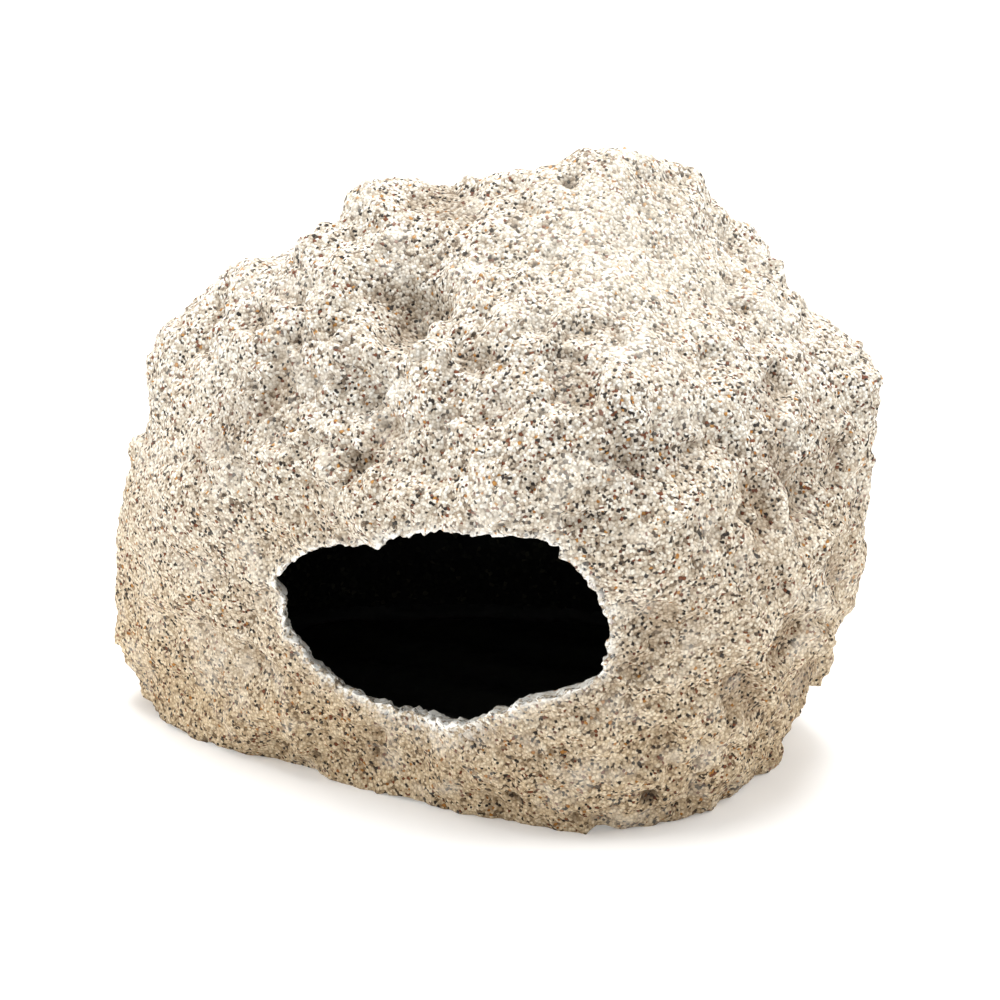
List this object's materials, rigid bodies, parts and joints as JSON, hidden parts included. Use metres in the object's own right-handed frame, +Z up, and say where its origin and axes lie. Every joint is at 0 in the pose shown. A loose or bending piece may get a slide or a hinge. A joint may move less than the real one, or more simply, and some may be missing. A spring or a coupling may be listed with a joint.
{
  "type": "resin cave ornament",
  "caption": "Hollow stone-effect resin cave for an aquarium or pond, with a broken-edged mouth, black lining and rippled black floor.",
  "frame": {"origin": "on the resting plane, under the middle of the rock's bounding box", "axes": "+Z up, mouth facing -Y, the rock's length along X"},
  "size_m": [0.152, 0.113, 0.1219],
  "materials": {
    "stone_face": "gritty matte speckled granite effect",
    "stone_core": "matte pale cast stone",
    "black_lining": "matte, lightly grained",
    "black_floor": "satin",
    "black_bead": "satin"
  },
  "bodies": {
    "root": {"stone_coat": "stone_face", "casting": "stone_core", "cave_liner": "black_lining", "floor_slab": "black_floor", "floor_bead": "black_bead"}
  },
  "joints": []
}
